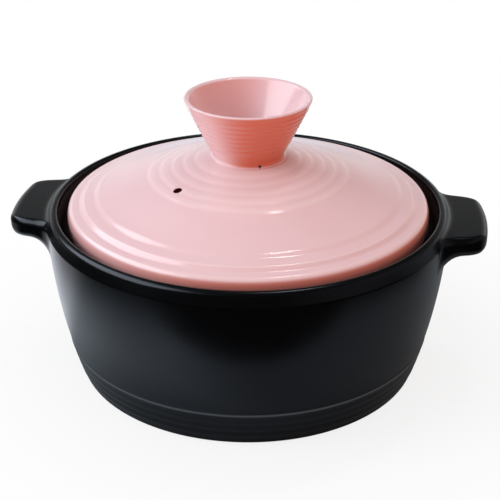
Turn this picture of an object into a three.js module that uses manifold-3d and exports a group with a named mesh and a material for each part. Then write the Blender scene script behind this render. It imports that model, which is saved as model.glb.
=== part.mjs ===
// Earthenware stew pot: a thrown pot with two lug handles, and a stepped lid with a cup-shaped knob.
// Millimetres, +Z up. The origin is on the table under the middle of the base, and the handles lie along X.

import * as THREE from "three";
import { mergeVertices } from "three/addons/utils/BufferGeometryUtils.js";
import Module from "manifold-3d";

// Joints in the clay
const seamGap = 0.3; // between two pieces that are luted together, or that rest on each other

// Pot: rim and wall
const potHeight = 96.8; // table to the top of the lip
const rimRadius = 110.8; // outside of the lip
const lipThickness = 4; // the lip is a full round of this width
const rimBevelRun = 2.4; // how far the bevel under the lip stands out, down to the shoulder
const rimBevelHeight = 7.3; // top of the lip down to the shoulder
const bellyInset = 2.2; // the wall curves towards a corner this far inside the shoulder
const bellyHeight = 40; // height of that corner
const baseRadius = 97.6; // wall at the table, before the edge is rounded
const baseEdgeRound = 1.6;
const wallThickness = 10;
const floorThickness = 10;
const floorCornerRound = 16; // inside corner between floor and wall

// Pot: ribbed foot band
const footRibCount = 4;
const footRibPitch = 5;
const footRibDepth = 0.8;

// Pot: recess under the base
const footRingWidth = 12; // ring that stands on the table
const footRecess = 1.5; // depth of the recess inside the ring

// Pot: gallery, the ledge inside the rim that carries the lid
const galleryDepth = 11.3; // top of the lip down to the ledge
const galleryTaper = 3.1; // how far its wall leans in on the way down
const galleryRound = 2; // corner between its wall and the ledge
const ledgeWidth = 7.7;
const ledgeEdgeRound = 1.5;
const ledgeHeight = 5; // thickness of the ledge at its inner edge
const ledgeUndercut = 14; // height over which the ledge thins out into the wall

// Handles
const handleReach = 23; // out from the lip
const handleDrop = 4.2; // top of the lip down to the top of the handle
const handleThickness = 11;
const handleRootWidth = 66;
const handleEndWidth = 56;
const handleEdgeRound = 4; // long edges, top and bottom
const handleCornerRound = 9; // the two outer corners in plan
const handleEndRound = 4; // top and bottom edges of the outer end
const handleFillet = 10; // hollow under the handle, where it meets the wall
const handleTopFillet = 4; // hollow on top, up to the bevel under the lip
const handleSideFillet = 6; // hollow at each side

// Lid
const lidPlay = 2.2; // between the lid and the foot of the gallery wall
const lidThickness = 7;
const lidSeatWidth = 6.5; // ring that rests on the ledge
const lidEdgeRise = 1.4; // lip top up to where the dome turns down at the edge
const lidEdgeRound = 2.2; // that turn
const lidSideTaper = 1; // how far the side leans in on its way down
const lidSeatChamfer = 1; // outer edge of that ring
const crownRise = 27.7; // lip top up to the flat that carries the knob
const crownLand = 1.2; // the flat shows this much round the knob
const domeBulge = 1.1; // dome above a straight cone, half way out

// Lid: rings round the knob, and steps near the edge
const ringCount = 5;
const ringPitch = 6.63;
const ringStart = 6.1; // edge of the flat out to the first crest
const ringDepth = 0.4;
const stepCount = 2;
const stepPitch = 8.3;
const stepInset = 9.7; // lid's outside in to the last crest
const stepDepth = 1;
const crestFall = 2.2; // width of the fall outside a crest

// Lid: steam hole
const ventDiameter = 4.6;
const ventRadius = 49; // middle of the lid to the middle of the hole
const ventAngle = 225.8; // degrees from +X

// Knob
const knobHeight = 33.6;
const knobFootRadius = 19.8;
const knobTopRadius = 35.4;
const knobWall = 4;
const knobLipRound = 1.5;
const knobFloor = 7; // clay under the cup
const knobCupRound = 6; // corner of the cup's floor
const knobFootFlare = 0.8; // the foot spreads this much where it meets the lid
const knobFootHeight = 1.6;
const knobRibCount = 9;
const knobRibDepth = 0.4;
const knobLipPlain = 2.4; // plain band between the lip and the first rib

// Knob: drain hole from the cup's floor to the foot
const drainDiameter = 1.8;
const drainRise = 1.5; // foot up to where it comes out
const drainAngle = 294; // degrees from +X

// Facets
const roundFacets = 48; // pot and lid
const knobFacets = 36;
const holeFacets = 12;
const roundSteps = 3; // along a quarter round in a profile
const curveSteps = 6; // along a wall or a dome
const bisections = 40; // when a point on the wall is looked for by its height

// Places worked out from the sizes above
const degrees = Math.PI / 180;
const shoulderRadius = rimRadius + rimBevelRun;
const shoulderHeight = potHeight - rimBevelHeight;
const ledgeTop = potHeight - galleryDepth;
const galleryFoot = rimRadius - lipThickness - galleryTaper;
const ledgeInner = galleryFoot - ledgeWidth;
const lidRadius = galleryFoot - lidPlay;
const lidBottom = ledgeTop + seamGap;
const crownHeight = potHeight + crownRise;
const crownRadius = knobFootRadius + knobFootFlare + crownLand;
const domeEdgeRadius = lidRadius - lidEdgeRound;
const domeEdgeHeight = potHeight + lidEdgeRise;
const knobBottom = crownHeight + seamGap;
const knobTop = knobBottom + knobHeight;

const wasm = await Module();
wasm.setup();

const point = (radius, height) => new THREE.Vector2(radius, height);

// Points of a round from one angle to another, about a centre.
function arc(centreRadius, centreHeight, size, fromDegrees, toDegrees, steps) {
  return Array.from({ length: steps + 1 }, (_, i) => {
    const angle = (fromDegrees + ((toDegrees - fromDegrees) * i) / steps) * degrees;
    return point(centreRadius + size * Math.cos(angle), centreHeight + size * Math.sin(angle));
  });
}

// A closed solid turned on the wheel: the profile runs from the axis, round the outside, back to the axis.
function turned(profile, facets) {
  return solidFrom(new THREE.LatheGeometry(profile, facets).rotateX(Math.PI / 2));
}

// Geometry to solid: shared vertices are merged, and the flat triangles on the axis are left out.
function solidFrom(geometry) {
  geometry.deleteAttribute("normal");
  geometry.deleteAttribute("uv");
  const merged = mergeVertices(geometry, 1e-4);
  const corners = merged.index.array;
  const kept = [];
  for (let i = 0; i < corners.length; i += 3) {
    const [a, b, c] = corners.slice(i, i + 3);
    if (a !== b && b !== c && c !== a) kept.push(a, b, c);
  }
  return new wasm.Manifold(
    new wasm.Mesh({
      numProp: 3,
      vertProperties: new Float32Array(merged.attributes.position.array),
      triVerts: new Uint32Array(kept),
    }),
  );
}

// Solid to a named mesh.
function meshFrom(name, solid, material) {
  const made = solid.getMesh();
  const geometry = new THREE.BufferGeometry();
  geometry.setAttribute("position", new THREE.BufferAttribute(made.vertProperties, 3));
  geometry.setIndex(new THREE.BufferAttribute(made.triVerts, 1));
  geometry.computeVertexNormals();
  const mesh = new THREE.Mesh(geometry, material);
  mesh.name = name;
  return mesh;
}

// A drill along the line between two points.
function drill(diameter, from, to) {
  const along = new THREE.Vector3().subVectors(to, from);
  const cylinder = new THREE.CylinderGeometry(diameter / 2, diameter / 2, along.length(), holeFacets);
  const up = new THREE.Vector3(0, 1, 0);
  const turn = new THREE.Quaternion().setFromUnitVectors(up, along.clone().normalize());
  cylinder.applyQuaternion(turn);
  cylinder.translate(...new THREE.Vector3().addVectors(from, to).multiplyScalar(0.5));
  return solidFrom(cylinder);
}

// The pot's outside wall: one curve from the base to the shoulder, drawn towards the belly corner.
const wallCurve = new THREE.QuadraticBezierCurve(
  point(baseRadius, 0),
  point(shoulderRadius - bellyInset, bellyHeight),
  point(shoulderRadius, shoulderHeight),
);

// Radius of the outside wall at a height.
function wallRadius(height) {
  let low = 0;
  let high = 1;
  for (let i = 0; i < bisections; i++) {
    const middle = (low + high) / 2;
    if (wallCurve.getPoint(middle).y < height) low = middle;
    else high = middle;
  }
  return wallCurve.getPoint((low + high) / 2).x;
}

// Outside of the ring that stands on the table.
const footRingOuter = wallRadius(baseEdgeRound) - baseEdgeRound;

// Evenly spaced values.
function evenly(from, to, steps) {
  return Array.from({ length: steps + 1 }, (_, i) => from + ((to - from) * i) / steps);
}

// The outside of the pot from the table up to the lip's outer edge, with the foot ribs.
function potOutside() {
  const foot = arc(footRingOuter, baseEdgeRound, baseEdgeRound, -90, 0, roundSteps);
  const ribs = Array.from({ length: footRibCount }, (_, i) => {
    const groove = footRibPitch * (i + 0.5) + baseEdgeRound;
    const crest = groove + footRibPitch / 2;
    return [
      point(wallRadius(groove), groove),
      point(wallRadius(crest) + footRibDepth, crest),
    ];
  }).flat();
  const bandTop = footRibPitch * (footRibCount + 0.5) + baseEdgeRound;
  const wall = evenly(bandTop, shoulderHeight, curveSteps).map((z) => point(wallRadius(z), z));
  return [...foot, ...ribs, ...wall];
}

function makePotBody() {
  const lipRound = lipThickness / 2;
  const lip = arc(rimRadius - lipRound, potHeight - lipRound, lipRound, 0, 180, 2 * roundSteps);
  const galleryTurn = galleryFoot - galleryRound;
  const gallery = arc(galleryTurn, ledgeTop + galleryRound, galleryRound, 0, -90, roundSteps);
  const ledgeTurn = ledgeInner + ledgeEdgeRound;
  const ledge = arc(ledgeTurn, ledgeTop - ledgeEdgeRound, ledgeEdgeRound, 90, 180, roundSteps);
  const ledgeFoot = ledgeTop - ledgeHeight;
  const floorCornerTop = floorThickness + floorCornerRound;
  const inside = evenly(ledgeFoot - ledgeUndercut, floorCornerTop, curveSteps).map((z) =>
    point(wallRadius(z) - wallThickness, z),
  );
  const cornerRadius = wallRadius(floorCornerTop) - wallThickness - floorCornerRound;
  const floorCorner = arc(cornerRadius, floorCornerTop, floorCornerRound, 0, -90, 2 * roundSteps).slice(1);
  const footRingInner = footRingOuter - footRingWidth;
  const profile = [
    point(0, footRecess),
    point(footRingInner - footRecess, footRecess),
    point(footRingInner, 0),
    ...potOutside(),
    ...lip,
    ...gallery,
    ...ledge,
    point(ledgeInner, ledgeFoot),
    ...inside,
    ...floorCorner,
    point(0, floorThickness),
  ];
  return turned(profile, roundFacets);
}

// The space that the pot takes up on the outside, grown by the seam, for the handles to be cut to.
function potKeepOut() {
  const bottom = -handleThickness;
  const top = potHeight + handleThickness;
  const grown = potOutside().map((p) => point(p.x + seamGap, p.y));
  const profile = [
    point(0, bottom),
    point(grown[0].x, bottom),
    ...grown,
    point(rimRadius + seamGap, potHeight - lipThickness / 2),
    point(rimRadius + seamGap, top),
    point(0, top),
  ];
  return turned(profile, roundFacets);
}

// How far a round of this size stands off its tangent, at a distance from the edge that it rounds.
function standOff(distance, round) {
  if (distance >= round) return 0;
  const left = round - Math.max(distance, 0);
  return round - Math.sqrt(round * round - left * left);
}

// One section of a handle at a distance out from the pot's axis: a rounded bar bent round that axis.
function handleSection(reach, halfWidth, bottom, top, edgeRound) {
  const round = Math.min(edgeRound, (top - bottom) / 2);
  const corners = [
    [halfWidth - round, top - round, 0],
    [-halfWidth + round, top - round, 90],
    [-halfWidth + round, bottom + round, 180],
    [halfWidth - round, bottom + round, 270],
  ];
  const outline = [];
  corners.forEach(([across, height, start], i) => {
    outline.push(...arc(across, height, round, start, start + 90, roundSteps));
    if (i % 2 === 1) return;
    const from = outline[outline.length - 1];
    const to = point(-from.x, from.y);
    evenly(0, 1, curveSteps)
      .slice(1, -1)
      .forEach((t) => outline.push(from.clone().lerp(to, t)));
  });
  return outline.map((p) => new THREE.Vector3(Math.sqrt(reach * reach - p.x * p.x), p.x, p.y));
}

// A handle on the +X side: sections from inside the wall to the rounded end, joined into one skin.
function handleLoft() {
  const top = potHeight - handleDrop;
  const bottom = top - handleThickness;
  const wall = shoulderRadius + seamGap;
  const lipStart = potHeight - lipThickness / 2;
  const bevel = THREE.MathUtils.mapLinear(top, shoulderHeight, lipStart, shoulderRadius, rimRadius) + seamGap;
  const end = rimRadius + handleReach;
  const sectionAt = (reach) => {
    const out = reach - wall;
    const left = end - reach;
    const width = THREE.MathUtils.mapLinear(reach, wall, end, handleRootWidth, handleEndWidth);
    const spread = standOff(out, handleSideFillet);
    const narrowed = standOff(left, handleCornerRound);
    const thinned = standOff(left, handleEndRound);
    return handleSection(
      reach,
      width / 2 + spread - narrowed,
      bottom - standOff(out, handleFillet) + thinned,
      top + standOff(reach - bevel, handleTopFillet) - thinned,
      handleEdgeRound + spread,
    );
  };
  const quarter = evenly(0, 90, curveSteps).map((angle) => 1 - Math.cos(angle * degrees));
  const reaches = [
    wall - handleFillet,
    ...quarter.map((share) => wall + handleFillet * share),
    ...quarter.map((share) => end - handleCornerRound * share).reverse(),
  ];
  return skin(reaches.map(sectionAt));
}

// One closed skin over sections that all have as many points, with a fan over each end.
function skin(sections) {
  const count = sections[0].length;
  const positions = sections.flat().flatMap((p) => [p.x, p.y, p.z]);
  const triangles = [];
  for (let s = 0; s + 1 < sections.length; s++) {
    for (let k = 0; k < count; k++) {
      const a = s * count + k;
      const b = s * count + ((k + 1) % count);
      triangles.push(a, b, a + count, b, b + count, a + count);
    }
  }
  [sections[0], sections[sections.length - 1]].forEach((section, which) => {
    const first = which === 0 ? 0 : (sections.length - 1) * count;
    const middle = section.reduce((sum, p) => sum.add(p), new THREE.Vector3()).divideScalar(count);
    const hub = positions.length / 3;
    positions.push(middle.x, middle.y, middle.z);
    for (let k = 0; k < count; k++) {
      const a = first + k;
      const b = first + ((k + 1) % count);
      triangles.push(...(which === 0 ? [hub, b, a] : [hub, a, b]));
    }
  });
  const geometry = new THREE.BufferGeometry();
  geometry.setAttribute("position", new THREE.Float32BufferAttribute(positions, 3));
  geometry.setIndex(triangles);
  return geometry;
}

function makeHandle(side) {
  const loft = handleLoft();
  if (side < 0) loft.rotateZ(Math.PI);
  return solidFrom(loft).subtract(potKeepOut());
}

// Height of the lid's top at a radius, before rings and steps.
function domeHeight(radius) {
  const t = (radius - crownRadius) / (domeEdgeRadius - crownRadius);
  const cone = THREE.MathUtils.lerp(crownHeight, domeEdgeHeight, t);
  return cone + 4 * domeBulge * t * (1 - t);
}

// How steeply the dome falls at its edge, as an angle.
const edgeSlope = Math.atan2(
  crownHeight - domeEdgeHeight + 4 * domeBulge,
  domeEdgeRadius - crownRadius,
);

// A crest and the foot of the fall outside it.
function crest(radius, depth) {
  const foot = radius + crestFall;
  return [
    point(radius, domeHeight(radius) + depth / 2),
    point(foot, domeHeight(foot) - depth / 2),
  ];
}

function makeLidDome() {
  const rings = Array.from({ length: ringCount }, (_, i) =>
    crest(crownRadius + ringStart + i * ringPitch, ringDepth),
  ).flat();
  const steps = Array.from({ length: stepCount }, (_, i) =>
    crest(lidRadius - stepInset - (stepCount - 1 - i) * stepPitch, stepDepth),
  ).flat();
  const field = evenly(rings[rings.length - 1].x, steps[0].x, roundSteps)
    .slice(1, -1)
    .map((r) => point(r, domeHeight(r)));
  const edgeStart = domeEdgeRadius + lidEdgeRound * Math.sin(edgeSlope);
  const edgeTurn = domeHeight(edgeStart) - lidEdgeRound * Math.cos(edgeSlope);
  const edge = arc(domeEdgeRadius, edgeTurn, lidEdgeRound, 90 - edgeSlope / degrees, 0, roundSteps);
  const seatOuter = lidRadius - lidSideTaper;
  const seatInner = seatOuter - lidSeatWidth;
  const under = evenly(seatInner - lidThickness / 2, crownRadius, curveSteps).map((r) =>
    point(r, domeHeight(r) - lidThickness),
  );
  const profile = [
    point(0, crownHeight - lidThickness),
    ...under.reverse(),
    point(seatInner, lidBottom),
    point(seatOuter - lidSeatChamfer, lidBottom),
    point(seatOuter, lidBottom + lidSeatChamfer),
    ...edge.reverse(),
    ...steps.reverse(),
    ...field.reverse(),
    ...rings.reverse(),
    point(crownRadius, crownHeight),
    point(0, crownHeight),
  ];
  const angle = ventAngle * degrees;
  const low = new THREE.Vector3(ventRadius * Math.cos(angle), ventRadius * Math.sin(angle), lidBottom);
  const high = low.clone().setZ(crownHeight);
  return turned(profile, roundFacets).subtract(drill(ventDiameter, low, high));
}

function makeLidKnob() {
  const flare = (knobTopRadius - knobFootRadius) / (knobHeight - knobFootHeight);
  const outside = (z) => knobFootRadius + (z - knobBottom - knobFootHeight) * flare;
  const ribsFrom = knobBottom + knobFootHeight;
  const ribsTo = knobTop - knobLipRound - knobLipPlain;
  const ribPitch = (ribsTo - ribsFrom) / knobRibCount;
  const ribs = Array.from({ length: knobRibCount }, (_, i) => {
    const groove = ribsFrom + i * ribPitch;
    const rib = groove + ribPitch / 2;
    return [point(outside(groove), groove), point(outside(rib) + knobRibDepth, rib)];
  }).flat();
  const lipMiddle = knobTopRadius - knobLipRound;
  const lipStart = -Math.atan(flare) / degrees;
  const lip = arc(lipMiddle, knobTop - knobLipRound, knobLipRound, lipStart, 180, 2 * roundSteps);
  const cupBottom = knobBottom + knobFloor;
  const inside = (z) => outside(z) - knobWall;
  const cupTurn = cupBottom + knobCupRound;
  const cup = arc(inside(cupTurn) - knobCupRound, cupTurn, knobCupRound, 0, -90, roundSteps);
  const profile = [
    point(0, knobBottom),
    point(knobFootRadius + knobFootFlare, knobBottom),
    ...ribs,
    point(outside(ribsTo), ribsTo),
    ...lip,
    ...cup,
    point(0, cupBottom),
  ];
  const angle = drainAngle * degrees;
  const out = new THREE.Vector3(Math.cos(angle), Math.sin(angle), 0);
  const mouth = out.clone().multiplyScalar(knobFootRadius).setZ(knobBottom + drainRise);
  const inlet = out.clone().multiplyScalar(inside(cupTurn) - knobCupRound).setZ(cupBottom);
  const through = new THREE.Vector3().subVectors(mouth, inlet).setLength(knobWall);
  const hole = drill(drainDiameter, inlet.clone().sub(through), mouth.clone().add(through));
  return turned(profile, knobFacets).subtract(hole);
}

const blackGlaze = () =>
  new THREE.MeshStandardMaterial({ color: 0x17191b, roughness: 0.42, metalness: 0 });
const pinkGlaze = () =>
  new THREE.MeshStandardMaterial({ color: 0xe8b9bb, roughness: 0.14, metalness: 0 });

const pot = new THREE.Group();
pot.add(meshFrom("pot_body", makePotBody(), blackGlaze()));
pot.add(meshFrom("handle_left", makeHandle(-1), blackGlaze()));
pot.add(meshFrom("handle_right", makeHandle(1), blackGlaze()));

const lid = new THREE.Group();
lid.add(meshFrom("lid_dome", makeLidDome(), pinkGlaze()));
lid.add(meshFrom("lid_knob", makeLidKnob(), pinkGlaze()));

const stewPot = new THREE.Group();
stewPot.add(pot, lid);

export default stewPot;
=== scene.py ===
import math

import bpy
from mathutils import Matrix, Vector


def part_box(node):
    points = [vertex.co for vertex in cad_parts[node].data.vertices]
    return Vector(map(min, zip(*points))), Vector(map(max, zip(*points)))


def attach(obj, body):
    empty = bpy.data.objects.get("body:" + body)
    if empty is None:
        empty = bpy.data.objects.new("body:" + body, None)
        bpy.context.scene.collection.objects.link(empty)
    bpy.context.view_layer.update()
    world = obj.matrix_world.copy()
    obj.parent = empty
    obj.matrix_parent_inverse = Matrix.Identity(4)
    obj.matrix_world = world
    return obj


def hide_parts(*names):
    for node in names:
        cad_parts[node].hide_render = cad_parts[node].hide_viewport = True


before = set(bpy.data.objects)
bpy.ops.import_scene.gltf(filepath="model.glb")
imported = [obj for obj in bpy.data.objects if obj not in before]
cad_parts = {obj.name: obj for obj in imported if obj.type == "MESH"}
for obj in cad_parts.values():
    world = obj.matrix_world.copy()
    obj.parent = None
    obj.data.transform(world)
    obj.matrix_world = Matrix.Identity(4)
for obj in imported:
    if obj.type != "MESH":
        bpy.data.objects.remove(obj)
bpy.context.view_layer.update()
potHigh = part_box("pot_body")[1]
lidLow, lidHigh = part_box("lid_dome")
knobLow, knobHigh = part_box("lid_knob")
handleLow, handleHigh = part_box("handle_right")
mm = 0.001
print("frame loaded, pot", round(potHigh.x / mm, 1), "mm in radius and",
      round(potHigh.z / mm, 1), "mm tall")


# colours and nodes

def linear(hexColour):  # sRGB hex to the linear values that sockets take
    parts = [int(hexColour[i:i + 2], 16) / 255 for i in (1, 3, 5)]
    return [c / 12.92 if c <= 0.04045 else ((c + 0.055) / 1.055) ** 2.4 for c in parts] + [1]


def addNode(tree, kind, settings, links):  # a setting is an input's name or number, or a property
    node = tree.nodes.new("ShaderNode" + kind)
    for name, value in settings.items():
        if isinstance(name, int) or name in node.inputs:
            node.inputs[name].default_value = value
        else:
            setattr(node, name, value)
    for name, output in links.items():
        tree.links.new(output, node.inputs[name])
    return node


def ramp(tree, value, low, high, settings):  # a soft step, from 0 to 1 unless the settings say otherwise
    span = {"interpolation_type": "SMOOTHSTEP", "From Min": low, "From Max": high}
    return addNode(tree, "MapRange", {**span, **settings}, {"Value": value}).outputs["Result"]


def maths(tree, operation, first, second):
    return addNode(tree, "Math", {"operation": operation}, {0: first, 1: second}).outputs["Value"]


def noise(tree, place, size, detail):
    return addNode(tree, "TexNoise", {"Scale": 1 / size, "Detail": detail}, {"Vector": place}).outputs["Fac"]


def stretch(tree, value, low, high):  # a value from 0 to 1, stretched to this range
    return addNode(tree, "MapRange", {"To Min": low, "To Max": high}, {"Value": value}).outputs["Result"]


def alongWay(tree, place, way):  # how far a place lies along a way
    return addNode(tree, "VectorMath", {"operation": "DOT_PRODUCT", 1: way}, {0: place}).outputs["Value"]


def blend(tree, share, first, second):  # of two colours, each a hex or a node's output
    settings = {"data_type": "RGBA"}
    links = {0: share}
    for slot, colour in ((6, first), (7, second)):  # the Mix node's two colour inputs
        if isinstance(colour, str):
            settings[slot] = linear(colour)
        else:
            links[slot] = colour
    return addNode(tree, "Mix", settings, links).outputs[2]


def bumps(tree, height, depth):
    return addNode(tree, "Bump", {"Strength": 1, "Distance": depth}, {"Height": height}).outputs["Normal"]


def paintMask(tree, name):  # an attribute that setPaintMask has set
    return addNode(tree, "Attribute", {"attribute_name": name}, {}).outputs["Fac"]


def newMaterial(name):
    material = bpy.data.materials.new(name)
    material.use_nodes = True
    tree = material.node_tree
    tree.nodes.clear()
    return material, tree


# satin black stoneware glaze: dipped and fired, so it is nearly black, with a soft broad sheen, a faint
# bloom where the glaze lies thicker, a fine even grain, and a grey line painted on a crest as a highlight

crestMaskName = "crestBreakAndHighlight"  # attribute, 1 on a crest line: a painted highlight on the foot band and the lid's edge, broken glaze on the lid's rings
blackGlaze = {
    "thinAndShade": "#020303",
    "thick": "#050607",
    "tint": "#e3ebf9",  # of the sheen, seen straight on
    "crestColour": "#3d464a",  # painted highlight on a crest
    "bloomSize": 30 * mm,
    "bloomDetail": 4,
    "grainSize": 1.4 * mm,
    "grainDetail": 3,
    "grainDepth": 0.012 * mm,
    "smooth": 0.2,
    "rough": 0.28,
    "ior": 1.45,
}


def makeBlackGlaze():
    s = blackGlaze
    material, tree = newMaterial("satinBlackStonewareGlaze")
    place = addNode(tree, "TexCoord", {}, {}).outputs["Object"]
    bloom = noise(tree, place, s["bloomSize"], s["bloomDetail"])
    grain = noise(tree, place, s["grainSize"], s["grainDetail"])
    coat = blend(tree, bloom, s["thinAndShade"], s["thick"])
    shader = addNode(tree, "BsdfPrincipled", {"IOR": s["ior"], "Specular Tint": linear(s["tint"])}, {
        "Base Color": blend(tree, paintMask(tree, crestMaskName), coat, s["crestColour"]),
        "Roughness": stretch(tree, bloom, s["smooth"], s["rough"]),
        "Normal": bumps(tree, grain, s["grainDepth"]),
    })
    addNode(tree, "OutputMaterial", {}, {"Surface": shader.outputs["BSDF"]})
    return material


# gloss pink glaze over pale clay: glassy, with crisp reflections, a slow drift in its strength, the slight
# waviness of a glaze that has run, a painted warm shade on the sides turned away from the light, a paler
# line where it broke over a crest, and a painted highlight along the lid's edge

pinkGlaze = {
    "pale": "#e8cacd",
    "deep": "#e5c1c5",
    # the warm colour painted where shade falls, on the sides turned from the light
    "thinAndShade": "#d56f58",
    "paintedShadeName": "paintedWarmShade",  # attribute: painted warm shade, from 0 for none to 1 for the deepest
    "paintedShadeWay": (0.66, -0.75, 0),  # painted shade on what faces this way, the front right, away from the key light
    "paintedShadeFrom": (0.12, 0.82),  # along it, where that starts and is full
    "crestColour": "#ebced0",
    "driftSize": 45 * mm,
    "driftDetail": 3,
    "waveSize": 9 * mm,
    "waveDetail": 1,
    "waveDepth": 0.02 * mm,
    "smooth": 0.1,
    "rough": 0.16,
    "ior": 1.52,
}


def makePinkGlaze():
    s = pinkGlaze
    material, tree = newMaterial("glossPinkGlaze")
    place = addNode(tree, "TexCoord", {}, {}).outputs["Object"]
    drift = noise(tree, place, s["driftSize"], s["driftDetail"])
    wave = noise(tree, place, s["waveSize"], s["waveDetail"])
    coat = blend(tree, drift, s["pale"], s["deep"])
    coat = blend(tree, paintMask(tree, crestMaskName), coat, s["crestColour"])
    shader = addNode(tree, "BsdfPrincipled", {"IOR": s["ior"]}, {
        "Base Color": blend(tree, paintMask(tree, s["paintedShadeName"]), coat, s["thinAndShade"]),
        "Roughness": stretch(tree, drift, s["smooth"], s["rough"]),
        "Normal": bumps(tree, wave, s["waveDepth"]),
    })
    addNode(tree, "OutputMaterial", {}, {"Surface": shader.outputs["BSDF"]})
    return material


def setPaintMask(piece, name, amount):  # amount is a function of place and normal
    layer = piece.data.attributes.new(name, "FLOAT", "POINT")
    for vertex, value in zip(piece.data.vertices, layer.data):
        value.value = min(1, max(0, amount(vertex.co, vertex.normal)))


def softStep(value, low, high):  # from 0 to 1
    share = min(1, max(0, (value - low) / (high - low)))
    return share * share * (3 - 2 * share)


def paintedShadeSide(normal, low, high):  # from 0 to 1 towards the side given painted shade
    return softStep(normal.dot(Vector(pinkGlaze["paintedShadeWay"])), low, high)


# bare buff clay where the glaze was wiped off: dry, sponged, with fine dark grit

bareClay = {
    "clay": "#c9a98a",
    "grit": "#8a6a50",
    "gritSize": 0.9 * mm,
    "gritDetail": 5,
    "gritShow": (0.55, 0.72),  # of the noise, where grit starts and is full
    "spongeDepth": 0.06 * mm,
    "rough": 0.9,
}


def makeBareClay():
    s = bareClay
    material, tree = newMaterial("bareBuffClay")
    place = addNode(tree, "TexCoord", {}, {}).outputs["Object"]
    grit = noise(tree, place, s["gritSize"], s["gritDetail"])
    spots = ramp(tree, grit, *s["gritShow"], {})
    shader = addNode(tree, "BsdfPrincipled", {"Roughness": s["rough"]}, {
        "Base Color": blend(tree, spots, s["clay"], s["grit"]),
        "Normal": bumps(tree, grit, s["spongeDepth"]),
    })
    addNode(tree, "OutputMaterial", {}, {"Surface": shader.outputs["BSDF"]})
    return material


# painted shade in the holes: a dark red-brown without shine, laid on the faces of the steam hole and the
# drain, where shade falls

holeShade = {
    "shadeColour": "#4a1814",
}


def makeHoleShade():
    material, tree = newMaterial("holeShade")
    shader = addNode(tree, "BsdfDiffuse", {"Color": linear(holeShade["shadeColour"])}, {})
    addNode(tree, "OutputMaterial", {}, {"Surface": shader.outputs["BSDF"]})
    return material


blackGlazeMaterial = makeBlackGlaze()
pinkGlazeMaterial = makePinkGlaze()
bareClayMaterial = makeBareClay()
holeShadeMaterial = makeHoleShade()
print("materials made")


# modelling steps that several pieces share

turning = {
    "steps": 180,  # round the axis
    "arcStep": 0.7 * mm,  # along a softened corner
    "arcFewest": 3,
    "weld": 0.001 * mm,  # points closer than this are one
    "slack": 0.1 * mm,  # where faces are picked by their place
    "facing": 0.9,  # part of a normal that counts as facing one way
}


def deselectAll():
    if bpy.context.mode != "OBJECT":
        bpy.ops.object.mode_set(mode="OBJECT")
    bpy.ops.object.select_all(action="DESELECT")


def pickVertices(test):  # in edit mode, by place
    bpy.ops.mesh.select_mode(type="VERT")
    bpy.ops.mesh.select_all(action="DESELECT")
    bpy.ops.object.mode_set(mode="OBJECT")
    for vertex in bpy.context.object.data.vertices:
        vertex.select = test(vertex.co)
    bpy.ops.object.mode_set(mode="EDIT")


def pickFaces(test):  # in edit mode, by middle and normal
    bpy.ops.mesh.select_mode(type="FACE")
    bpy.ops.mesh.select_all(action="DESELECT")
    bpy.ops.object.mode_set(mode="OBJECT")
    for face in bpy.context.object.data.polygons:
        face.select = test(face.center, face.normal)
    bpy.ops.object.mode_set(mode="EDIT")


def drawProfile(name, corners):  # corners are (radius, height, softening), and the line stays in edit mode
    deselectAll()
    bpy.ops.mesh.primitive_plane_add(size=mm, enter_editmode=True)
    piece = bpy.context.object
    piece.name = piece.data.name = name
    bpy.ops.mesh.select_mode(type="VERT")
    bpy.ops.mesh.select_all(action="SELECT")
    bpy.ops.mesh.merge(type="CENTER")  # to one point
    bpy.ops.transform.translate(value=(corners[0][0], 0, corners[0][1]))
    for here, there in zip(corners, corners[1:]):
        step = (there[0] - here[0], 0, there[1] - here[1])
        bpy.ops.mesh.extrude_vertices_move(TRANSFORM_OT_translate={"value": step})
    for radius, height, softening in corners:
        if softening == 0:
            continue
        place = Vector((radius, 0, height))
        pickVertices(lambda co: (co - place).length < turning["weld"])
        segments = max(turning["arcFewest"], math.ceil(math.pi / 2 * softening / turning["arcStep"]))
        bpy.ops.mesh.bevel(offset=softening, segments=segments, affect="VERTICES")
    return piece


def spinProfile(steps):
    bpy.ops.mesh.select_all(action="SELECT")
    bpy.ops.mesh.spin(steps=steps, angle=2 * math.pi, center=(0, 0, 0), axis=(0, 0, 1))
    bpy.ops.mesh.select_all(action="SELECT")
    bpy.ops.mesh.remove_doubles(threshold=turning["weld"])
    bpy.ops.mesh.normals_make_consistent(inside=False)
    bpy.ops.object.mode_set(mode="OBJECT")


def applyModifier(piece, kind, settings):
    modifier = piece.modifiers.new(kind.lower(), kind)
    for name, value in settings.items():
        setattr(modifier, name, value)
    bpy.ops.object.modifier_apply(modifier=modifier.name)


def smoothSurface(piece):  # large faces keep their own normals beside small rounds
    bpy.ops.object.shade_smooth()
    applyModifier(piece, "WEIGHTED_NORMAL", {})


def setFaceMaterial(piece, material, test):  # faces given another material: the bare clay, and the painted shade in the holes
    piece.data.materials.append(material)
    bpy.ops.object.mode_set(mode="EDIT")
    pickFaces(test)
    piece.active_material_index = len(piece.data.materials) - 1
    bpy.ops.object.material_slot_assign()
    bpy.ops.object.mode_set(mode="OBJECT")


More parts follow.
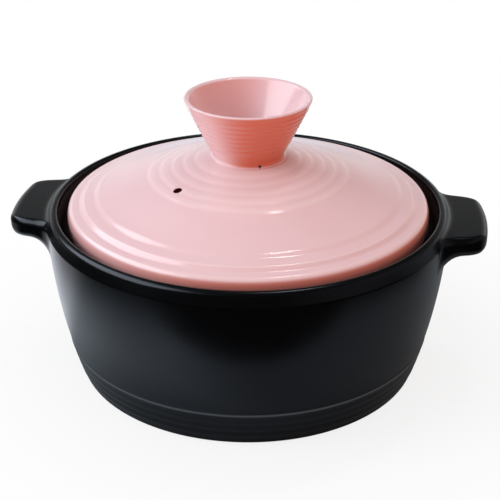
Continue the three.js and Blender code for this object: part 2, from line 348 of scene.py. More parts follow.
def punchHole(piece, s, mouth, way):  # cut with a punch whose end is flared, so the mouth is rounded
    deselectAll()
    bpy.ops.mesh.primitive_cylinder_add(
        vertices=s["sides"], radius=s["radius"], depth=s["depth"],
        location=(0, 0, -s["depth"] / 2 - s["mouth"]))
    punch = bpy.context.object
    bpy.ops.object.transform_apply(location=True, rotation=False, scale=False)
    bpy.ops.object.mode_set(mode="EDIT")
    pickFaces(lambda middle, normal: normal.z > turning["facing"])
    radius, rise = s["radius"], 0
    for i in range(1, s["mouthSteps"] + 1):
        angle = s["mouthTurn"] * i / s["mouthSteps"]
        newRadius = s["radius"] + s["mouth"] * (1 - math.cos(angle))
        newRise = s["mouth"] * math.sin(angle)
        bpy.ops.mesh.extrude_region_move(TRANSFORM_OT_translate={"value": (0, 0, newRise - rise)})
        scale = newRadius / radius
        bpy.ops.transform.resize(value=(scale, scale, 1), center_override=(0, 0, 0))
        radius, rise = newRadius, newRise
    bpy.ops.mesh.extrude_region_move(TRANSFORM_OT_translate={"value": (0, 0, s["clear"])})
    bpy.ops.object.mode_set(mode="OBJECT")
    punch.rotation_euler = way.to_track_quat("Z", "Y").to_euler()
    punch.location = mouth
    bpy.ops.object.transform_apply(location=True, rotation=True, scale=False)
    bpy.context.view_layer.objects.active = piece
    applyModifier(piece, "BOOLEAN", {"operation": "DIFFERENCE", "object": punch, "solver": "EXACT"})
    bpy.data.objects.remove(punch)
    deselectAll()
    piece.select_set(True)
    # the faces inside the hole get painted shade
    setFaceMaterial(piece, holeShadeMaterial, lambda middle, normal: (
        (middle - mouth).cross(way).length < s["radius"] + turning["slack"]))


def between(start, stop, count):  # evenly spaced, both ends left out
    return [start + (stop - start) * i / (count + 1) for i in range(1, count + 1)]


# pot: one thrown wall with a ribbed foot band, a bevelled rim and a ledge for the lid

potShape = {
    "bevelHeight": 7.3 * mm,  # lip top down to the shoulder
    "bevelRun": 2.4 * mm,
    "shoulderSoft": 0.5 * mm,
    "lipWidth": 4 * mm,
    "lipOuterSoft": 2.2 * mm,
    "lipInnerSoft": 1.2 * mm,
    "bellyInset": 2.2 * mm,
    "bellyHeight": 40 * mm,
    "baseRadius": 97.6 * mm,
    "baseSoft": 1.4 * mm,
    "ribHeights": [6.4 * mm, 11.2 * mm, 16 * mm, 21.2 * mm],  # crests of the foot band
    "ribStand": [0.4 * mm, 0.4 * mm, 0.4 * mm, 0.45 * mm],
    "ribHalf": 2.4 * mm,
    "ribSoft": 1.1 * mm,
    "bandLine": 0.9 * mm,  # half the width of the grey painted highlight on the last crest
    "wall": 10 * mm,
    "floor": 10 * mm,
    "floorSoft": 16 * mm,
    "ringWidth": 13 * mm,
    "recess": 1.5 * mm,
    "recessSoft": 0.75 * mm,
    "galleryDepth": 11.3 * mm,
    "galleryFoot": 103.2 * mm,
    "gallerySoft": 2.4 * mm,
    "galleryLip": 3 * mm,  # straight stretch under the lip
    "galleryLipSoft": 0.75 * mm,
    "ledgeInner": 96 * mm,
    "ledgeSoft": 1.5 * mm,
    "ledgeHeight": 5 * mm,
    "undercut": 14 * mm,
    "undercutSoft": 4 * mm,
    "wallPoints": 14,
    "insidePoints": 7,
}
shoulderHeight = potHigh.z - potShape["bevelHeight"]


def wallRadius(height):  # outside wall: one curve from the base to the shoulder, drawn to the belly corner
    s = potShape
    rise = shoulderHeight - 2 * s["bellyHeight"]
    run = 2 * s["bellyHeight"]
    t = (math.sqrt(run * run + 4 * rise * height) - run) / (2 * rise)
    belly = potHigh.x - s["bellyInset"]
    return (1 - t) ** 2 * s["baseRadius"] + 2 * t * (1 - t) * belly + t * t * potHigh.x


def makePot():
    s = potShape
    top = potHigh.z
    rim = potHigh.x - s["bevelRun"]
    lipInner = rim - s["lipWidth"]
    ledgeTop = top - s["galleryDepth"]
    ledgeFoot = ledgeTop - s["ledgeHeight"]
    undercutFoot = ledgeFoot - s["undercut"]
    ringInner = s["baseRadius"] - s["ringWidth"]
    corners = [
        (0, s["recess"], 0),
        (ringInner - s["recess"], s["recess"], s["recessSoft"]),
        (ringInner, 0, s["recessSoft"]),
        (s["baseRadius"], 0, s["baseSoft"]),
    ]
    for height, stand in zip(s["ribHeights"], s["ribStand"]):
        groove = height - s["ribHalf"]
        corners.append((wallRadius(groove), groove, s["ribSoft"]))
        corners.append((wallRadius(height) + stand, height, s["ribSoft"]))
    bandTop = s["ribHeights"][-1] + s["ribHalf"]
    corners.append((wallRadius(bandTop), bandTop, s["ribSoft"]))
    corners += [(wallRadius(z), z, 0) for z in between(bandTop, shoulderHeight, s["wallPoints"])]
    corners += [
        (potHigh.x, shoulderHeight, s["shoulderSoft"]),
        (rim, top, s["lipOuterSoft"]),
        (lipInner, top, s["lipInnerSoft"]),
        (lipInner, top - s["galleryLip"], s["galleryLipSoft"]),
        (s["galleryFoot"], ledgeTop, s["gallerySoft"]),
        (s["ledgeInner"], ledgeTop, s["ledgeSoft"]),
        (s["ledgeInner"], ledgeFoot, s["ledgeSoft"]),
        (wallRadius(undercutFoot) - s["wall"], undercutFoot, s["undercutSoft"]),
    ]
    cornerTop = s["floor"] + s["floorSoft"] + s["undercutSoft"]
    corners += [(wallRadius(z) - s["wall"], z, 0)
                for z in between(undercutFoot, cornerTop, s["insidePoints"])]
    corners += [
        (wallRadius(s["floor"]) - s["wall"], s["floor"], s["floorSoft"]),
        (0, s["floor"], 0),
    ]
    pot = drawProfile("potBody", corners)
    spinProfile(turning["steps"])
    pot.data.materials.append(blackGlazeMaterial)
    setFaceMaterial(pot, bareClayMaterial, lambda middle, normal: (
        middle.z < s["recess"] + turning["slack"] and normal.z < -turning["facing"]))
    # the last crest of the foot band gets a grey painted highlight
    crest = s["ribHeights"][-1]
    setPaintMask(pot, crestMaskName, lambda place, normal: (
        place.xy.length > s["baseRadius"] and abs(place.z - crest) < s["bandLine"]))
    smoothSurface(pot)
    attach(pot, "pot")
    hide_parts("pot_body")
    return pot


pot = makePot()
print("pot turned:", len(pot.data.polygons), "faces")


# handles: a flat lug on each side, drawn out of a flared root and bent round the pot

handleShape = {
    "rootWidth": 66 * mm,
    "endWidth": 56 * mm,
    "edgeSoft": 4 * mm,
    "edgeSteps": 8,
    "cornerRound": 9 * mm,  # outer corners, seen from above
    "endRound": 4 * mm,  # top and bottom of the outer end
    "drop": 4.2 * mm,  # lip top down to the top of the handle
    "underFillet": 10 * mm,
    "topFillet": 2.2 * mm,
    "sideFillet": 6 * mm,
    "sunk": 0.8 * mm,  # the flare runs on this deep into the wall
    "skirt": 3,  # and spreads this much for each step in
    "roundSteps": 8,
    "bendCuts": 18,
}


def standOff(distance, size):  # how far a round of this size stands off, at a distance from its edge
    left = max(0, size - max(0, distance))
    return size - math.sqrt(size * size - left * left)


def handleSection(out):  # half width along the bend, bottom and top, at a distance out from the wall
    s = handleShape
    root = potHigh.x
    length = handleHigh.x - root
    share = min(1, max(0, out / length))
    spread = max(0, -out) * s["skirt"]
    half = (s["rootWidth"] + (s["endWidth"] - s["rootWidth"]) * share) / 2 + spread
    half += standOff(out, s["sideFillet"]) - standOff(length - out, s["cornerRound"])
    bend = math.asin(half / (root + max(0, out)))
    thinned = standOff(length - out, s["endRound"])
    top = potHigh.z - s["drop"] + standOff(out, s["topFillet"]) - thinned - min(0, out)
    bottom = handleLow.z + s["underFillet"] - standOff(out, s["underFillet"]) + thinned - spread
    return root * bend, bottom, top


def outsideRadius(height):  # the pot's outside, up over the bevel
    over = max(0, height - shoulderHeight) / potShape["bevelHeight"]
    return wallRadius(min(height, shoulderHeight)) - over * potShape["bevelRun"]


def settleRoot(handle):  # the flare follows the wall's slope, and the outer end is left as it is
    for vertex in handle.data.vertices:
        radius = vertex.co.xy.length
        share = min(1, max(0, 1 - (radius - potHigh.x) / handleShape["underFillet"]))
        scale = 1 + (outsideRadius(vertex.co.z) - potHigh.x) * share * share / radius
        vertex.co.x *= scale
        vertex.co.y *= scale


def makeHandle():
    s = handleShape
    root = potHigh.x
    length = handleHigh.x - root
    quarter = [1 - math.cos(math.radians(90 * i / s["roundSteps"])) for i in range(s["roundSteps"] + 1)]
    outs = [-s["sunk"]] + [s["underFillet"] * q for q in quarter]
    outs += [length - s["cornerRound"] * q for q in reversed(quarter)]
    half, bottom, top = handleSection(outs[0])
    deselectAll()
    bpy.ops.mesh.primitive_plane_add(size=1, rotation=(math.radians(90), 0, 0))
    handle = bpy.context.object
    handle.name = handle.data.name = "handleRight"
    bpy.ops.object.transform_apply(location=False, rotation=True, scale=False)
    bpy.ops.object.mode_set(mode="EDIT")
    bpy.ops.mesh.select_all(action="SELECT")
    thickness = potHigh.z - s["drop"] - handleLow.z - s["underFillet"]
    bpy.ops.transform.resize(value=(s["rootWidth"], 1, thickness))
    bpy.ops.mesh.bevel(offset=s["edgeSoft"], segments=s["edgeSteps"], affect="VERTICES")
    bpy.ops.mesh.select_mode(type="FACE")
    bpy.ops.mesh.select_all(action="SELECT")
    bpy.ops.transform.resize(value=(2 * half / s["rootWidth"], 1, (top - bottom) / thickness))
    bpy.ops.transform.translate(value=(0, -outs[0], (top + bottom) / 2))
    for here, there in zip(outs, outs[1:]):  # one extrusion for each section, then scaled to it
        newHalf, newBottom, newTop = handleSection(there)
        shift = (0, here - there, (newTop + newBottom - top - bottom) / 2)
        bpy.ops.mesh.extrude_region_move(TRANSFORM_OT_translate={"value": shift})
        scale = (newHalf / half, 1, (newTop - newBottom) / (top - bottom))
        bpy.ops.transform.resize(value=scale, center_override=(0, -there, (newTop + newBottom) / 2))
        half, bottom, top = newHalf, newBottom, newTop
    widest = handleSection(outs[0])[0]
    for x in between(-widest, widest, s["bendCuts"]):
        bpy.ops.mesh.select_all(action="SELECT")
        bpy.ops.mesh.bisect(plane_co=(x, 0, 0), plane_no=(1, 0, 0))
    bpy.ops.mesh.select_all(action="SELECT")
    bpy.ops.mesh.normals_make_consistent(inside=False)
    bpy.ops.object.mode_set(mode="OBJECT")
    applyModifier(handle, "SIMPLE_DEFORM", {
        "deform_method": "BEND", "deform_axis": "Z", "angle": 2 * widest / root})
    bpy.ops.object.mode_set(mode="EDIT")
    bpy.ops.mesh.select_all(action="SELECT")
    bpy.ops.transform.translate(value=(0, -root, 0))
    bpy.ops.transform.rotate(value=math.radians(-90), orient_axis="Z", center_override=(0, 0, 0))
    bpy.ops.object.mode_set(mode="OBJECT")
    settleRoot(handle)
    smoothSurface(handle)
    handle.data.materials.append(blackGlazeMaterial)
    return handle


def turnedCopy(piece, name, angle):  # a copy with its own mesh, turned about the pot's axis
    deselectAll()
    piece.select_set(True)
    bpy.context.view_layer.objects.active = piece
    bpy.ops.object.duplicate()
    copy = bpy.context.object
    copy.name = copy.data.name = name
    bpy.ops.transform.rotate(value=angle, orient_axis="Z", center_override=(0, 0, 0))
    bpy.ops.object.transform_apply(location=True, rotation=True, scale=True)
    return copy


handleRight = makeHandle()
handleLeft = turnedCopy(handleRight, "handleLeft", math.pi)
for piece, node in ((handleRight, "handle_right"), (handleLeft, "handle_left")):
    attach(piece, "pot")
    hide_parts(node)
print("handles bent:", len(handleRight.data.polygons), "faces each")


# lid: a stepped dome with a steam hole, resting on the ledge

lidShape = {
    "crownRadius": 21.8 * mm,
    "crownSoft": 1.5 * mm,
    "bulge": 1.1 * mm,  # above a straight cone
    "edgeHeight": 12.4 * mm,  # seat up to the end of the dome
    "edgeInset": 2.2 * mm,  # from the outside in to that end
    "edgeLift": 0.8 * mm,  # of the edge's corner, above the dome
    "edgeSoft": 2 * mm,
    "sideLean": 1.5 * mm,  # the side leans back this far
    "sideHeight": 4.6 * mm,  # over this height
    "sideSoft": 2 * mm,
    "paintedShadeStart": 0.9 * mm,  # below the edge's corner, where the painted shade starts
    "paintedShadeRun": 1.6 * mm,
    "paintedShadeEdge": (0.44, 0.82),  # on the left and on the side of the painted shade
    "ringStart": 27.9 * mm,
    "ringPitch": 6.63 * mm,
    "ringCount": 5,
    "ringDepth": 0.28 * mm,
    "ringFall": 2.4 * mm,  # width of the drop outside a crest
    "ringSoft": 0.4 * mm,
    "stepStart": 83.5 * mm,
    "stepPitch": 0,
    "stepCount": 1,
    "stepDepth": 0.7 * mm,
    "stepFall": 2.4 * mm,
    "stepSoft": 1.1 * mm,
    "brimStart": 92 * mm,
    "brimPitch": 0,
    "brimCount": 1,
    "brimDepth": 1.2 * mm,
    "brimFall": 2.2 * mm,
    "brimSoft": 0.8 * mm,
    "edgeCrest": (1.6 * mm, 3.2 * mm),  # painted highlight on the edge, in from the outside
    "thickness": 7 * mm,
    "seatWidth": 6.5 * mm,
    "sideTaper": 1 * mm,
    "seatSoft": 0.8 * mm,
    "hollowSoft": 3 * mm,
    "fieldPoints": 6,
    "underPoints": 8,
}
ventHole = {
    "radius": 2.3 * mm,
    "mouth": 0.8 * mm,  # round at the edge
    "mouthTurn": math.radians(80),
    "mouthSteps": 6,
    "fromAxis": 48.6 * mm,
    "angle": math.radians(224.8),
    "depth": 14 * mm,
    "clear": 6 * mm,
    "sides": 40,
}


def domeHeight(radius):  # lid's top before its rings and steps
    s = lidShape
    edgeRadius = lidHigh.x - s["edgeInset"]
    t = (radius - s["crownRadius"]) / (edgeRadius - s["crownRadius"])
    cone = lidHigh.z + (lidLow.z + s["edgeHeight"] - lidHigh.z) * t
    return cone + 4 * s["bulge"] * t * (1 - t)


def crestAndFoot(kind):  # from the outside in
    start, pitch, count, depth, fall, soft = [
        lidShape[kind + name] for name in ("Start", "Pitch", "Count", "Depth", "Fall", "Soft")]
    corners = []
    for i in reversed(range(count)):
        crest = start + i * pitch
        foot = crest + fall
        corners.append((foot, domeHeight(foot) - depth / 2, soft))
        corners.append((crest, domeHeight(crest) + depth / 2, soft))
    return corners


def punchVent(lid):  # square to the dome
    s = ventHole
    reach = s["fromAxis"]
    slope = math.atan((domeHeight(reach - mm) - domeHeight(reach + mm)) / (2 * mm))
    out = Vector((math.cos(s["angle"]), math.sin(s["angle"]), 0))
    mouth = out * reach + Vector((0, 0, domeHeight(reach)))
    way = out * math.sin(slope) + Vector((0, 0, math.cos(slope)))
    punchHole(lid, s, mouth, way)


def makeLid():
    s = lidShape
    seatOuter = lidHigh.x - s["sideTaper"]
    seatInner = seatOuter - s["seatWidth"]
    hollowEdge = seatInner - s["thickness"] / 2
    edgeRadius = lidHigh.x - s["sideLean"]
    edgeTop = domeHeight(edgeRadius) + s["edgeLift"]
    corners = [(0, lidHigh.z - s["thickness"], 0)]
    corners += [(r, domeHeight(r) - s["thickness"], 0)
                for r in [s["crownRadius"]] + between(s["crownRadius"], hollowEdge, s["underPoints"])]
    corners += [
        (hollowEdge, domeHeight(hollowEdge) - s["thickness"], s["hollowSoft"]),
        (seatInner, lidLow.z, s["seatSoft"]),
        (seatOuter, lidLow.z, s["seatSoft"]),
        (lidHigh.x, edgeTop - s["sideHeight"], s["sideSoft"]),
        (edgeRadius, edgeTop, s["edgeSoft"]),
    ]
    corners += crestAndFoot("brim") + crestAndFoot("step")
    rings = crestAndFoot("ring")
    corners += [(r, domeHeight(r), 0) for r in between(s["stepStart"], rings[0][0], s["fieldPoints"])]
    corners += rings
    corners += [(s["crownRadius"], lidHigh.z, s["crownSoft"]), (0, lidHigh.z, 0)]
    lid = drawProfile("lidDome", corners)
    spinProfile(turning["steps"])
    lid.data.materials.append(pinkGlazeMaterial)
    setFaceMaterial(lid, bareClayMaterial, lambda middle, normal: (
        middle.z < lidLow.z + turning["slack"] and normal.z < -turning["facing"]))
    punchVent(lid)
    paintedShadeTop = edgeTop - s["paintedShadeStart"]
    crests = [s["ringStart"] + i * s["ringPitch"] for i in range(s["ringCount"])] + [s["brimStart"]]

    def paintedShade(place, normal):  # painted shade on the edge's side
        if place.xy.length < seatInner:
            return 0
        least, most = s["paintedShadeEdge"]
        thinAndShade = least + (most - least) * paintedShadeSide(normal, *pinkGlaze["paintedShadeFrom"])
        return thinAndShade * softStep(paintedShadeTop - place.z, 0, s["paintedShadeRun"])

    def crestLines(place, normal):  # paler where the glaze broke over the crests, and a painted highlight along the top of the edge
        radius = place.xy.length
        if normal.z < 0 or place.z < paintedShadeTop:
            return 0
        onEdge = s["edgeCrest"][0] < lidHigh.x - radius < s["edgeCrest"][1]
        return onEdge or min(abs(radius - crest) for crest in crests) < s["ringSoft"] + turning["slack"]

    setPaintMask(lid, pinkGlaze["paintedShadeName"], paintedShade)
    setPaintMask(lid, crestMaskName, crestLines)
    smoothSurface(lid)
    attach(lid, "lid")
    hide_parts("lid_dome")
    return lid


lid = makeLid()
print("lid turned:", len(lid.data.polygons), "faces")


# knob: a hollow ribbed cup luted to the crown of the lid

knobShape = {
    "footRadius": 19.8 * mm,
    "footFlare": 2.6 * mm,
    "footSoft": 2.6 * mm,
    "footHeight": 1.6 * mm,
    "footSunk": 0.8 * mm,  # into the crown
    "topRadius": 35.4 * mm,
    "wall": 4 * mm,
    "lipWall": 2.8 * mm,
    "lipSoft": 1.3 * mm,
    "lipPlain": 4 * mm,
    "ribCount": 9,
    "plainRibs": 2,  # left out above the foot
    "ribStand": 0.55 * mm,
    "ribSoft": 0.95 * mm,
    "grooveSoft": 0.3 * mm,
    "cupFloor": 7 * mm,
    "cupSoft": 6 * mm,
    "steps": 144,
    "paintedShadeOutside": (0.2, 1),  # opposite and on the side of the painted shade
    "paintedShadeInside": (0, 0.41),
    "paintedShadeInsideFrom": (0.35, 0.85),  # inside, where that starts and is full
    "footPaintedLight": (0.5 * mm, 4 * mm),  # above the foot, where the painted shade eases off on the lit side, for a pale lit fillet
    "lipShadeEnd": 1.2 * mm,  # below the top, where the painted shade ends
}
drainHole = {
    "radius": 0.75 * mm,
    "mouth": 0.15 * mm,
    "mouthTurn": math.radians(80),
    "mouthSteps": 2,
    "reach": 0.7 * mm,  # from the foot out to where it comes out
    "rise": 0.35 * mm,
    "inlet": 14.5 * mm,  # from the axis to where it starts, in the cup's floor
    "angle": math.radians(294),
    "depth": 7 * mm,
    "clear": 3 * mm,
    "sides": 24,
}


def makeKnob():
    s = knobShape
    foot = knobLow.z + s["footHeight"]
    flare = (s["topRadius"] - s["footRadius"]) / (knobHigh.z - foot)
    ribTop = knobHigh.z - s["lipPlain"]
    pitch = (ribTop - foot) / s["ribCount"]
    bottom = knobLow.z - s["footSunk"]
    cupFloor = knobLow.z + s["cupFloor"]

    def outside(height):
        return s["footRadius"] + (height - foot) * flare

    spread = s["footRadius"] + s["footFlare"]
    corners = [
        (0, bottom, 0),
        (spread, bottom, 0),
        (spread, knobLow.z - s["footSunk"] / 2, 0),
        (outside(knobLow.z), knobLow.z, s["footSoft"]),
    ]
    for i in range(s["plainRibs"], s["ribCount"]):
        groove = foot + i * pitch
        crest = groove + pitch / 2
        corners.append((outside(groove), groove, s["grooveSoft"]))
        corners.append((outside(crest) + s["ribStand"], crest, s["ribSoft"]))
    corners += [
        (outside(ribTop), ribTop, s["grooveSoft"]),
        (s["topRadius"], knobHigh.z, s["lipSoft"]),
        (s["topRadius"] - s["lipWall"], knobHigh.z, s["lipSoft"]),
        (outside(cupFloor) - s["wall"], cupFloor, s["cupSoft"]),
        (0, cupFloor, 0),
    ]
    knob = drawProfile("lidKnob", corners)
    spinProfile(s["steps"])
    knob.data.materials.append(pinkGlazeMaterial)
    out = Vector((math.cos(drainHole["angle"]), math.sin(drainHole["angle"]), 0))
    up = Vector((0, 0, 1))
    punchHole(knob, drainHole, out * drainHole["inlet"] + up * cupFloor, up)
    punchHole(knob, drainHole, out * (s["footRadius"] + drainHole["reach"])
              + up * (knobLow.z + drainHole["rise"]), out)

    def paintedShade(place, normal):  # painted shade: more outside than inside, none on the lip
        inside = outside(place.z) - place.xy.length > s["lipWall"] / 2
        least, most = s["paintedShadeInside"] if inside else s["paintedShadeOutside"]
        turn = s["paintedShadeInsideFrom"] if inside else pinkGlaze["paintedShadeFrom"]
        least *= softStep(place.z - knobLow.z, *s["footPaintedLight"])
        thinAndShade = least + (most - least) * paintedShadeSide(normal, *turn)
        return thinAndShade * softStep(knobHigh.z - place.z, s["lipShadeEnd"] / 2, s["lipShadeEnd"])

    setPaintMask(knob, pinkGlaze["paintedShadeName"], paintedShade)
    smoothSurface(knob)
    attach(knob, "lid")
    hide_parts("lid_knob")
    return knob


knob = makeKnob()
print("knob turned:", len(knob.data.polygons), "faces")


# floor: a pale sheet that takes the shadow and turns to plain white further out. The glaze mirrors a strip
# of it that ends near the pot in front and runs on behind

# As the glaze sees it, the sheet is painted apart: cooler, with painted shade under and right of the pot,
# and a painted glow on the left
floorSheet = {
    "size": 8,
    "below": 0.05 * mm,
    "paper": "#f6f6f6",
    "mirrored": "#dfebf2",  # the same sheet as the glaze shows it, painted cooler
    "lift": 0.82,  # share of plain white that the camera sees near the pot
    "white": (0.12, 0.3),  # from the axis, where plain white starts and is full
    "sideEnd": (0.2, 0.3),  # from the middle of the strip, where it fades in the glaze
    "middle": (-0.1, 0.08),  # from the left side to the right
    "rightDepth": 0.8,  # of that fade on the right, deeper there as painted shade
    "frontEnd": (0.165, 0.25),  # from the axis, where it fades in the glaze
    "behind": (0, 0.12),  # where the front end no longer counts
    "near": (0.1, 0.15),  # from the axis, where the painted shade under the pot fades
    "nearDepth": 0.64,
    "sweep": (0.2, 0.5),  # where the sides no longer count, and the backdrop starts
    "shadeWay": (0.95, -0.35, 0),
    "shade": (-0.03, 0.09),  # along that way, where the painted shade of the pot starts and is full
    "shadeDepth": 0.58,
    "glareWay": (-0.3, 0.95, 0),
    "glare": (0.015, 0.055),  # along that way, where the sheet glows in the glaze as a painted light, and is full
    "glareEnd": (0.25, 0.4),
    "glareLevel": 0.6,
    "glareColour": "#ebe6ee",
}


def makePaleSheet():
    s = floorSheet
    material, tree = newMaterial("paleSheet")
    place = addNode(tree, "TexCoord", {}, {}).outputs["Object"]
    far = addNode(tree, "VectorMath", {"operation": "LENGTH"}, {0: place}).outputs["Value"]
    part = addNode(tree, "SeparateXYZ", {}, {0: place})
    path = addNode(tree, "LightPath", {}, {})
    mirrored = path.outputs["Is Glossy Ray"]
    fading = {"To Min": 1, "To Max": 0}
    left = ramp(tree, part.outputs["X"], *s["middle"], fading)
    across = addNode(tree, "Math", {"operation": "ABSOLUTE"}, {0: part.outputs["X"]}).outputs["Value"]
    sweep = ramp(tree, part.outputs["Y"], *s["sweep"], fading)
    side = maths(tree, "MULTIPLY", sweep, stretch(tree, left, s["rightDepth"], 1))
    side = maths(tree, "MULTIPLY", ramp(tree, across, *s["sideEnd"], {}), side)
    behind = ramp(tree, part.outputs["Y"], *s["behind"], fading)
    front = maths(tree, "MULTIPLY", ramp(tree, far, *s["frontEnd"], {}), behind)
    shade = ramp(tree, alongWay(tree, place, s["shadeWay"]), *s["shade"], {"To Max": s["shadeDepth"]})
    near = ramp(tree, far, *s["near"], {"To Min": s["nearDepth"], "To Max": 0})
    ends = maths(tree, "MAXIMUM", side, front)
    ends = maths(tree, "MAXIMUM", ends, maths(tree, "MAXIMUM", shade, near))
    glare = ramp(tree, alongWay(tree, place, s["glareWay"]), *s["glare"], {})
    close = ramp(tree, far, *s["glareEnd"], {"To Min": s["glareLevel"], "To Max": 0})
    glare = maths(tree, "MULTIPLY", maths(tree, "MULTIPLY", glare, close), left)
    colour = blend(tree, mirrored, s["paper"], s["mirrored"])
    paper = addNode(tree, "BsdfDiffuse", {}, {"Color": colour})
    black = addNode(tree, "BsdfDiffuse", {"Color": linear("#000000")}, {})
    dark = maths(tree, "MULTIPLY", ends, mirrored)
    sheet = addNode(tree, "MixShader", {}, {0: dark, 1: paper.outputs["BSDF"], 2: black.outputs["BSDF"]})
    bright = addNode(tree, "Emission", {"Color": linear(s["glareColour"])}, {
        "Strength": maths(tree, "MULTIPLY", glare, mirrored)})
    lit = addNode(tree, "AddShader", {}, {0: sheet.outputs["Shader"], 1: bright.outputs["Emission"]})
    white = addNode(tree, "Emission", {"Color": linear("#ffffff"), "Strength": 1}, {})
    plain = ramp(tree, far, *s["white"], {"To Min": s["lift"]})
    seen = maths(tree, "MULTIPLY", plain, path.outputs["Is Camera Ray"])
    both = addNode(tree, "MixShader", {}, {
        0: seen, 1: lit.outputs["Shader"], 2: white.outputs["Emission"]})
    addNode(tree, "OutputMaterial", {}, {"Surface": both.outputs["Shader"]})
    return material


def makeFloor():
    s = floorSheet
    deselectAll()
    bpy.ops.mesh.primitive_plane_add(size=s["size"], location=(0, 0, -s["below"]))
    floor = bpy.context.object
    floor.name = "floorSheet"
    floor.data.materials.append(makePaleSheet())


makeFloor()


# dark card: lies on the floor in front and shows only in the glaze, as the dark wedge on the pot's front

darkCard = {
    "nearEdge": 0.166,  # from the pot's axis
    "size": (4, 3),
    "turn": math.radians(5.8),
    "above": 0.1 * mm,
    "colour": "#020202",
}


def makeDarkCard():
    s = darkCard
    material, tree = newMaterial("blackCard")
    black = addNode(tree, "BsdfDiffuse", {"Color": linear(s["colour"])}, {})
    addNode(tree, "OutputMaterial", {}, {"Surface": black.outputs["BSDF"]})
    deselectAll()
    bpy.ops.mesh.primitive_plane_add(size=1)
    card = bpy.context.object
    card.name = "darkCard"
    bpy.ops.transform.resize(value=(s["size"][0], s["size"][1], 1))
    bpy.ops.transform.translate(value=(0, -s["nearEdge"] - s["size"][1] / 2, s["above"]))
    bpy.ops.transform.rotate(value=-s["turn"], orient_axis="Z", center_override=(0, 0, 0))
    bpy.ops.object.transform_apply(location=True, rotation=True, scale=True)
    card.data.materials.append(material)
    card.visible_camera = False
    card.visible_diffuse = False
    card.visible_transmission = False
    card.visible_shadow = False


makeDarkCard()
print("floor and card laid")


# light: soft light all round, cool and strong from up on the left, warm and weak from the room opposite,
# with a warm glow low in front. A key lamp and a large soft box stand on the left, and a small lamp hangs
# overhead. The glaze mirrors a backdrop and a dark room

studio = {
    "keyWay": (-0.79, -0.29, 0.54),
    "keyLevel": 1.04,
    "roomLevel": 0.67,
    "rise": (-0.3, 1),  # along the key's way, from the room's level to the key's
    "keyColour": "#f4f9ff",
    "roomColour": "#ffe0c6",
    "mix": (-0.75, 0.45),  # along the key's way, from the room's colour to the key's
    "glow": 1.15,  # warm light low in front, in place of the rest
    "glowColour": "#ff9450",
    "glowWay": (0.57, -0.82, 0),
    "glowSides": (0, 0.65),  # along that way, where it starts and is full
    "glowTop": (0.1, 0.6),  # part that points up, where it fades
    "mirrorRoom": (0.02, 0.2),  # on the left and on the right
    "mirrorRight": (0.3, 0.9),  # part that points right, from one to the other
    "mirrorBackdrop": 0.8,
    "mirrorSides": (0.45, 0.85),  # part that points back, where the backdrop starts and is full
    "mirrorTop": (0.05, 0.55),  # part that points up, where it fades
    "boxPlace": (-1.003, -0.12, 0.97),
    "boxSize": (1.76, 0.96),
    "boxPower": 20,
    "boxColour": "#f4f8ff",
    "keyPlace": (-1.05, -0.36, 0.8),
    "keySize": (0.6, 0.6),
    "keyPower": 6.2,
    "lampPlace": (0.164, 0.238, 1.146),
    "lampSize": (0.09, 0.2),
    "lampPower": 1.03,
    "lampColour": "#ffffff",
    "aim": (0, 0, 0.1),
}


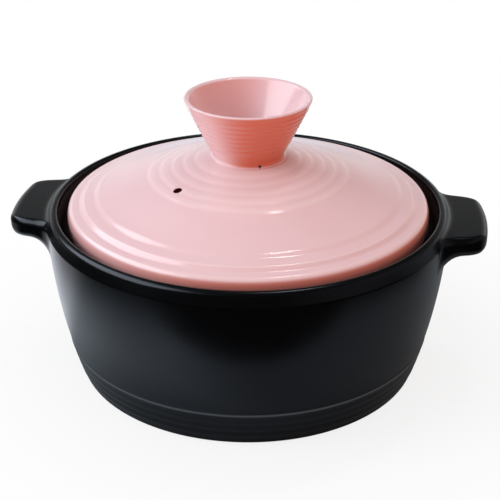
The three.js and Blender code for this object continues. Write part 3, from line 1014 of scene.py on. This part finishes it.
def makeWorld():
    s = studio
    world = bpy.data.worlds.new("softStudio")
    world.use_nodes = True
    bpy.context.scene.world = world
    tree = world.node_tree
    tree.nodes.clear()
    white = linear("#ffffff")
    way = addNode(tree, "TexCoord", {}, {}).outputs["Generated"]
    part = addNode(tree, "SeparateXYZ", {}, {0: way})
    key = alongWay(tree, way, s["keyWay"])
    level = ramp(tree, key, *s["rise"], {"To Min": s["roomLevel"], "To Max": s["keyLevel"]})
    colour = blend(tree, ramp(tree, key, *s["mix"], {}), s["roomColour"], s["keyColour"])
    allRound = addNode(tree, "Background", {}, {"Color": colour, "Strength": level})
    ahead = ramp(tree, alongWay(tree, way, s["glowWay"]), *s["glowSides"], {})
    low = ramp(tree, part.outputs["Z"], *s["glowTop"], {"To Min": 1, "To Max": 0})
    glow = maths(tree, "MULTIPLY", ahead, low)
    warm = addNode(tree, "Background", {"Color": linear(s["glowColour"]), "Strength": s["glow"]}, {})
    softLight = addNode(tree, "MixShader", {}, {
        0: glow, 1: allRound.outputs["Background"], 2: warm.outputs["Background"]})
    sides = ramp(tree, part.outputs["Y"], *s["mirrorSides"], {})
    room = ramp(tree, part.outputs["X"], *s["mirrorRight"], {
        "To Min": s["mirrorRoom"][0], "To Max": s["mirrorRoom"][1]})
    top = ramp(tree, part.outputs["Z"], *s["mirrorTop"], {
        "To Min": s["mirrorBackdrop"], "To Max": s["mirrorRoom"][0]})
    mirrored = addNode(tree, "MapRange", {}, {"Value": sides, "To Min": room, "To Max": top})
    mirrorLight = addNode(tree, "Background", {"Color": white}, {"Strength": mirrored.outputs["Result"]})
    whiteLight = addNode(tree, "Background", {"Color": white, "Strength": 1}, {})
    path = addNode(tree, "LightPath", {}, {})
    shown = maths(tree, "MAXIMUM", path.outputs["Is Camera Ray"], path.outputs["Is Transmission Ray"])
    unseen = addNode(tree, "MixShader", {}, {
        0: path.outputs["Is Glossy Ray"],
        1: softLight.outputs["Shader"],
        2: mirrorLight.outputs["Background"],
    })
    light = addNode(tree, "MixShader", {}, {
        0: shown, 1: unseen.outputs["Shader"], 2: whiteLight.outputs["Background"]})
    addNode(tree, "OutputWorld", {}, {"Surface": light.outputs["Shader"]})


def makeLamp(name, kind):  # kind is how the names of its settings start
    place, size, power, colour = [studio[kind + part] for part in ("Place", "Size", "Power", "Colour")]
    bpy.ops.object.light_add(type="AREA", location=place)
    lamp = bpy.context.object
    lamp.name = name
    lamp.data.shape = "RECTANGLE"
    lamp.data.size, lamp.data.size_y = size
    lamp.data.energy = power
    lamp.data.color = linear(colour)[:3]
    aim = Vector(studio["aim"]) - Vector(place)
    lamp.rotation_euler = aim.to_track_quat("-Z", "Y").to_euler()
    return lamp


deselectAll()
makeWorld()
softBox = makeLamp("softBox", "box")
softBox.visible_diffuse = False  # only mirrored, and the key lamp lights in its place
keyLamp = makeLamp("keyLamp", "key")
keyLamp.visible_glossy = False
makeLamp("overheadLamp", "lamp")
print("studio lit")


# camera: where the photograph was taken from

view = {
    "azimuth": math.radians(5.8),
    "distance": 0.6268,  # from the pot's axis, level
    "height": 0.3752,
    "pitch": math.radians(26.29),
    "lens": 87.46,
    "sensor": 36,
    "shift": 1.8 / 500,  # the axis stands this share of the width left of the middle
}


def makeCamera():
    s = view
    place = (s["distance"] * math.sin(s["azimuth"]), -s["distance"] * math.cos(s["azimuth"]), s["height"])
    turn = (math.radians(90) - s["pitch"], 0, s["azimuth"])
    bpy.ops.object.camera_add(location=place, rotation=turn)
    camera = bpy.context.object
    camera.data.lens = s["lens"]
    camera.data.sensor_width = s["sensor"]
    camera.data.shift_x = s["shift"]
    bpy.context.scene.camera = camera


makeCamera()
bpy.context.scene.view_settings.view_transform = "Standard"
